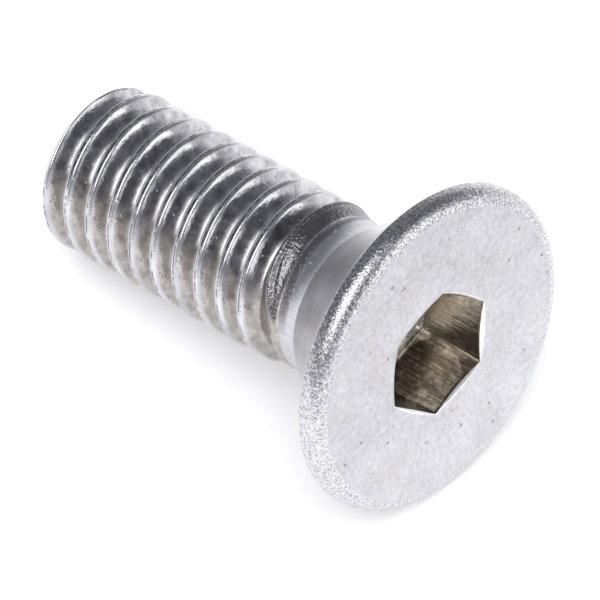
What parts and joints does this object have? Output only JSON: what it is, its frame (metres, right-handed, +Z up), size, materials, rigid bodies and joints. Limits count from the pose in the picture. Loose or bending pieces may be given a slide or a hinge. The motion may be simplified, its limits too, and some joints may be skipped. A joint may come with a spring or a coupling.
{
  "type": "countersunk socket screw",
  "caption": "Short metric machine screw with a flat countersunk head, a hexagon socket and a rolled right-hand thread, lying on its side.",
  "frame": {"origin": "centre of the lying screw's box, on the surface it rests on", "axes": "+Z up; the screw lies on its side with its head towards +X and its tip towards -X, dipping 11.2 degrees to the tip because it rests on the rim of its head and on one crest of its thread"},
  "size_m": [0.017, 0.0114, 0.0113],
  "materials": {
    "stainless": "bright as-forged stainless steel: satin on the head's face, tumbled on its rim, polished in the thread"
  },
  "bodies": {
    "root": {"socket_screw": "stainless"}
  },
  "joints": []
}
